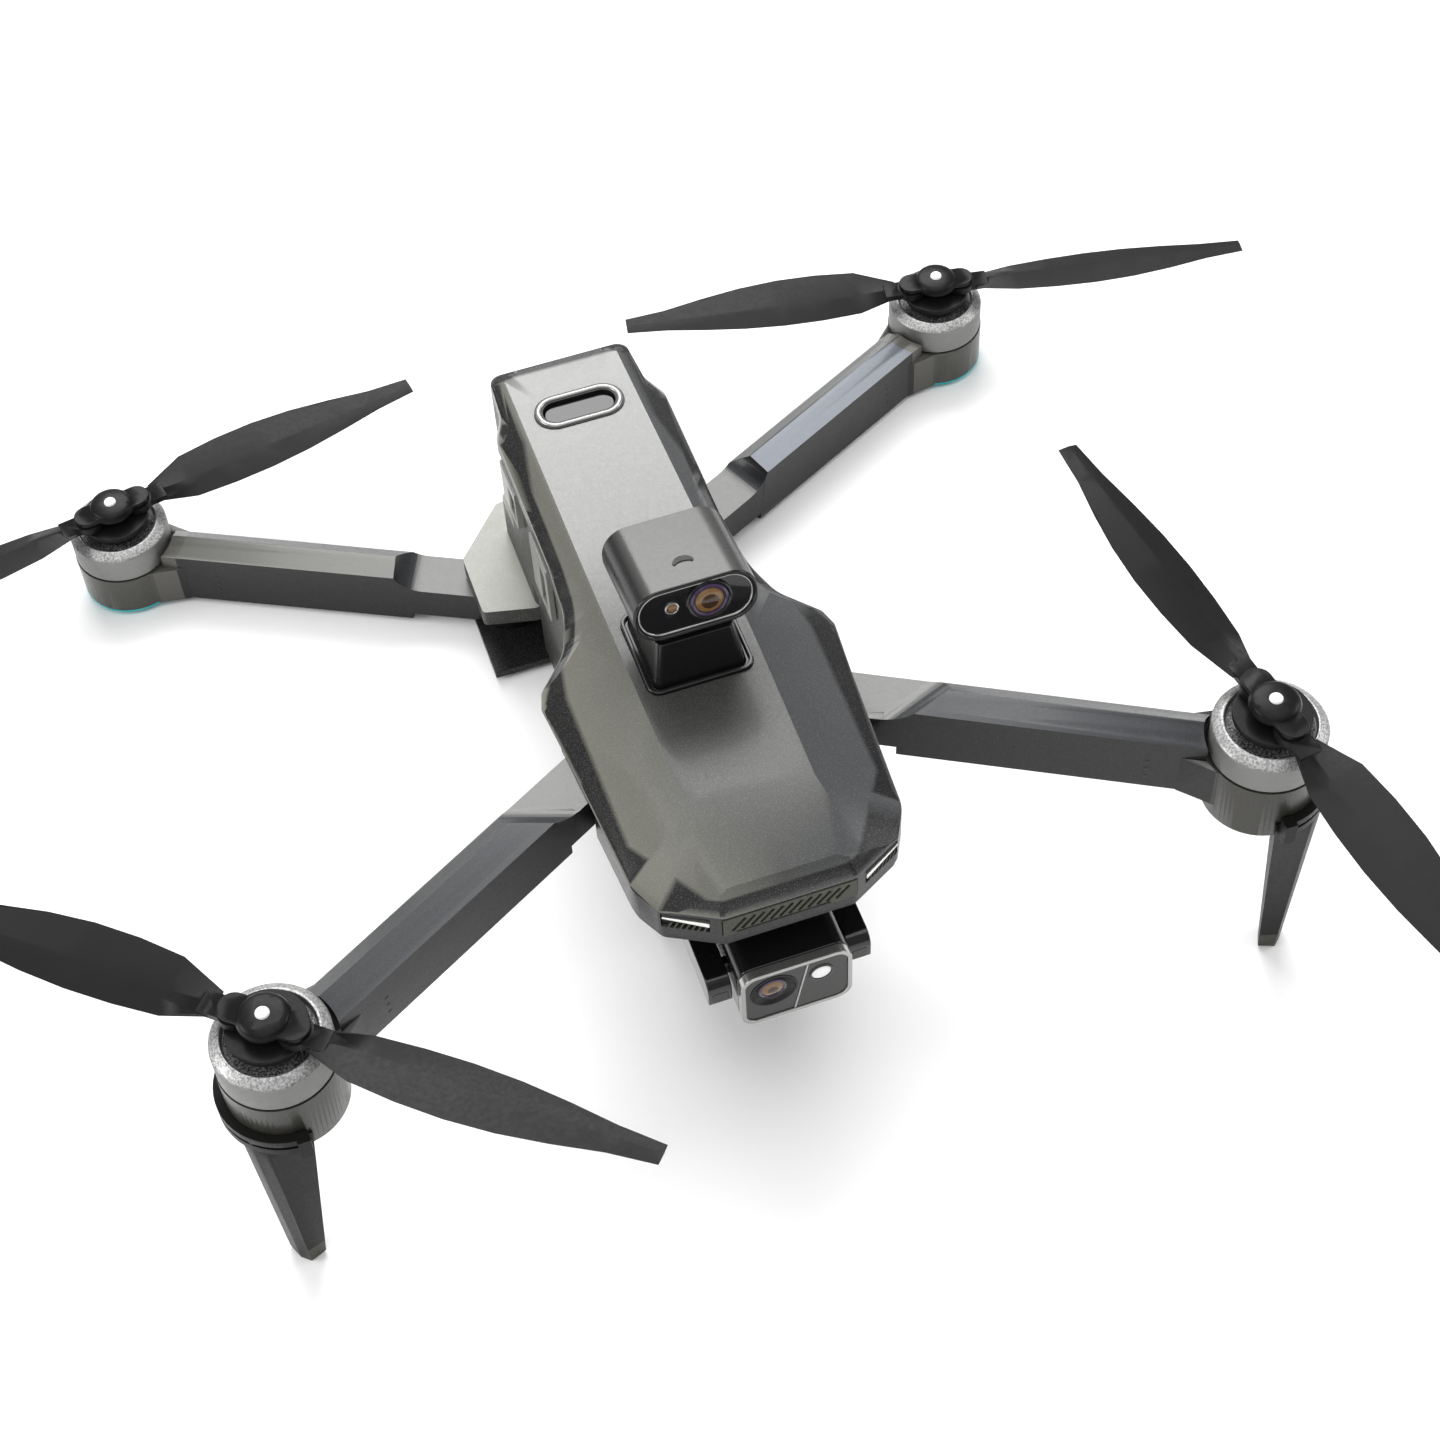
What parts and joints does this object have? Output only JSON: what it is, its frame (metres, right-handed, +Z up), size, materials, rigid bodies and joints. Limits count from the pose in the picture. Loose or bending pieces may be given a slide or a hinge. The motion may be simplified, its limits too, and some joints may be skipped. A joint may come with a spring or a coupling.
{
  "type": "folding quadcopter drone",
  "caption": "Folding quadcopter drone with a turning sensor turret on top, a nose gimbal camera, spinning rotors with folding blades, front legs and a slide-out battery.",
  "frame": {"origin": "centre of the bounding box's base, on the ground under the middle of the craft", "axes": "+Z up, -Y towards the nose and the camera, +X to the right of someone who faces the nose, which is the craft's own left hand"},
  "size_m": [0.3772, 0.2862, 0.1033],
  "materials": {
    "shell_grey": "satin gunmetal grey with a fine metallic sparkle",
    "arm_grey": "satin gunmetal grey",
    "bell_silver": "bead-blasted silver grey",
    "stator_dark": "dark lacquered laminations",
    "hub_black": "black",
    "blade_black": "black",
    "frame_dark": "dark grey satin",
    "leg_black": "black and olive-grey satin",
    "lamp_teal": "translucent teal",
    "steel": "plain",
    "grille_grey": "olive grey, hatched",
    "lamp_silver": "silver reflector",
    "trim_silver": "silver grey",
    "ring_grey": "silver rim",
    "button_black": "gloss black",
    "turret_black": "gloss black",
    "turret_grey": "satin grey",
    "black_glass": "black, polished",
    "lens_glass": "coated lens glass",
    "gimbal_black": "gloss black",
    "bezel_silver": "polished silver",
    "led_white": "white lamp",
    "damper_rubber": "soft black",
    "battery_dark": "dark grey",
    "cell_foil": "foil",
    "board_green": "circuit board"
  },
  "bodies": {
    "airframe": {"top_shell": "shell_grey", "nose_grille": "grille_grey", "headlights": "lamp_silver", "mid_frame": "frame_dark", "belly_tray": "frame_dark", "rear_block": "frame_dark", "arm_hinge_pins": "steel", "side_trims": "trim_silver", "button_ring": "ring_grey", "turret_base": "turret_black", "gimbal_plate": "frame_dark", "gimbal_carrier": "frame_dark", "gimbal_dampers": "damper_rubber", "main_board": "board_green", "gps_module": "board_green", "flow_sensor": "lens_glass", "block_screws": "steel"},
    "front_arm_left": {"arm_front_left": "arm_grey", "stator_front_left": "stator_dark", "leg_front_left": "leg_black"},
    "rear_arm_left": {"arm_rear_left": "arm_grey", "stator_rear_left": "stator_dark", "lamp_rear_left": "lamp_teal"},
    "rotor_front_left": {"bell_front_left": "bell_silver", "hub_front_left": "hub_black"},
    "prop_a_front_left": {"blade_a_front_left": "blade_black"},
    "prop_b_front_left": {"blade_b_front_left": "blade_black"},
    "rotor_rear_left": {"bell_rear_left": "bell_silver", "hub_rear_left": "hub_black"},
    "prop_a_rear_left": {"blade_a_rear_left": "blade_black"},
    "prop_b_rear_left": {"blade_b_rear_left": "blade_black"},
    "front_arm_right": {"arm_front_right": "arm_grey", "stator_front_right": "stator_dark", "leg_front_right": "leg_black"},
    "rear_arm_right": {"arm_rear_right": "arm_grey", "stator_rear_right": "stator_dark", "lamp_rear_right": "lamp_teal"},
    "rotor_front_right": {"bell_front_right": "bell_silver", "hub_front_right": "hub_black"},
    "prop_a_front_right": {"blade_a_front_right": "blade_black"},
    "prop_b_front_right": {"blade_b_front_right": "blade_black"},
    "rotor_rear_right": {"bell_rear_right": "bell_silver", "hub_rear_right": "hub_black"},
    "prop_a_rear_right": {"blade_a_rear_right": "blade_black"},
    "prop_b_rear_right": {"blade_b_rear_right": "blade_black"},
    "turret": {"turret_head": "turret_grey", "turret_glass": "black_glass", "turret_lenses": "lens_glass"},
    "gimbal": {"gimbal_fork": "gimbal_black"},
    "camera": {"camera_body": "gimbal_black", "camera_bezel": "bezel_silver", "camera_window": "black_glass", "camera_barrel": "gimbal_black", "camera_lens": "lens_glass", "camera_led": "led_white"},
    "battery": {"battery_case": "battery_dark", "battery_cells": "cell_foil"},
    "latch_left_button": {"latch_left": "trim_silver"},
    "latch_right_button": {"latch_right": "trim_silver"},
    "power": {"power_button": "button_black"}
  },
  "joints": [
    {"name": "front_arm_left_fold", "type": "hinge", "parent": "airframe", "child": "front_arm_left", "pos_m": [-0.02402, -0.01685, 0.0618], "axis": [0, 0, -1], "range_deg": [0, 95]},
    {"name": "rear_arm_left_fold", "type": "hinge", "parent": "airframe", "child": "rear_arm_left", "pos_m": [-0.02202, 0.08064, 0.0075], "axis": [0, 0, 1], "range_deg": [0, 105.6]},
    {"name": "rotor_front_left_spin", "type": "hinge", "parent": "front_arm_left", "child": "rotor_front_left", "pos_m": [-0.1047, -0.0625, 0.0742], "axis": [0, 0, -1], "continuous": true},
    {"name": "blade_a_front_left_fold", "type": "hinge", "parent": "rotor_front_left", "child": "prop_a_front_left", "pos_m": [-0.1096, -0.05839, 0.07855], "axis": [0, 0, -1], "range_deg": [-110, 0]},
    {"name": "blade_b_front_left_fold", "type": "hinge", "parent": "rotor_front_left", "child": "prop_b_front_left", "pos_m": [-0.0998, -0.06661, 0.07855], "axis": [0, 0, -1], "range_deg": [-110, 0]},
    {"name": "rotor_rear_left_spin", "type": "hinge", "parent": "rear_arm_left", "child": "rotor_rear_left", "pos_m": [-0.1086, 0.1259, 0.0206], "axis": [0, 0, 1], "continuous": true},
    {"name": "blade_a_rear_left_fold", "type": "hinge", "parent": "rotor_rear_left", "child": "prop_a_rear_left", "pos_m": [-0.11489, 0.12474, 0.02495], "axis": [0, 0, 1], "range_deg": [-110, 0]},
    {"name": "blade_b_rear_left_fold", "type": "hinge", "parent": "rotor_rear_left", "child": "prop_b_rear_left", "pos_m": [-0.1023, 0.12706, 0.02495], "axis": [0, 0, 1], "range_deg": [-110, 0]},
    {"name": "front_arm_right_fold", "type": "hinge", "parent": "airframe", "child": "front_arm_right", "pos_m": [0.02402, -0.01685, 0.0618], "axis": [0, 0, 1], "range_deg": [0, 95]},
    {"name": "rear_arm_right_fold", "type": "hinge", "parent": "airframe", "child": "rear_arm_right", "pos_m": [0.02202, 0.08064, 0.0075], "axis": [0, 0, -1], "range_deg": [0, 105.6]},
    {"name": "rotor_front_right_spin", "type": "hinge", "parent": "front_arm_right", "child": "rotor_front_right", "pos_m": [0.1047, -0.0625, 0.0742], "axis": [0, 0, 1], "continuous": true},
    {"name": "blade_a_front_right_fold", "type": "hinge", "parent": "rotor_front_right", "child": "prop_a_front_right", "pos_m": [0.10392, -0.05615, 0.07855], "axis": [0, 0, 1], "range_deg": [-110, 0]},
    {"name": "blade_b_front_right_fold", "type": "hinge", "parent": "rotor_front_right", "child": "prop_b_front_right", "pos_m": [0.10548, -0.06885, 0.07855], "axis": [0, 0, 1], "range_deg": [-110, 0]},
    {"name": "rotor_rear_right_spin", "type": "hinge", "parent": "rear_arm_right", "child": "rotor_rear_right", "pos_m": [0.1086, 0.1259, 0.0206], "axis": [0, 0, -1], "continuous": true},
    {"name": "blade_a_rear_right_fold", "type": "hinge", "parent": "rotor_rear_right", "child": "prop_a_rear_right", "pos_m": [0.11489, 0.12474, 0.02495], "axis": [0, 0, -1], "range_deg": [-110, 0]},
    {"name": "blade_b_rear_right_fold", "type": "hinge", "parent": "rotor_rear_right", "child": "prop_b_rear_right", "pos_m": [0.1023, 0.12706, 0.02495], "axis": [0, 0, -1], "range_deg": [-110, 0]},
    {"name": "turret_turn", "type": "hinge", "parent": "airframe", "child": "turret", "pos_m": [0, 0.001, 0.095], "axis": [0, 0, 1], "range_deg": [-150, 150]},
    {"name": "gimbal_pan", "type": "hinge", "parent": "airframe", "child": "gimbal", "pos_m": [0, -0.0373, 0.045], "axis": [0, 0, 1], "range_deg": [-25, 25]},
    {"name": "camera_tilt", "type": "hinge", "parent": "gimbal", "child": "camera", "pos_m": [0, -0.0563, 0.037], "axis": [-1, 0, 0], "range_deg": [-90, 20]},
    {"name": "battery_slide", "type": "slide", "parent": "airframe", "child": "battery", "axis": [0, 1, 0], "range_m": [0, 0.06]},
    {"name": "latch_left_press", "type": "slide", "parent": "airframe", "child": "latch_left_button", "axis": [1, 0, 0], "range_m": [0, 0.001], "stiffness_N_per_m": 400},
    {"name": "latch_right_press", "type": "slide", "parent": "airframe", "child": "latch_right_button", "axis": [-1, 0, 0], "range_m": [0, 0.001], "stiffness_N_per_m": 400},
    {"name": "power_press", "type": "slide", "parent": "airframe", "child": "power", "axis": [0, 0, -1], "range_m": [0, 0.0008], "stiffness_N_per_m": 400}
  ]
}
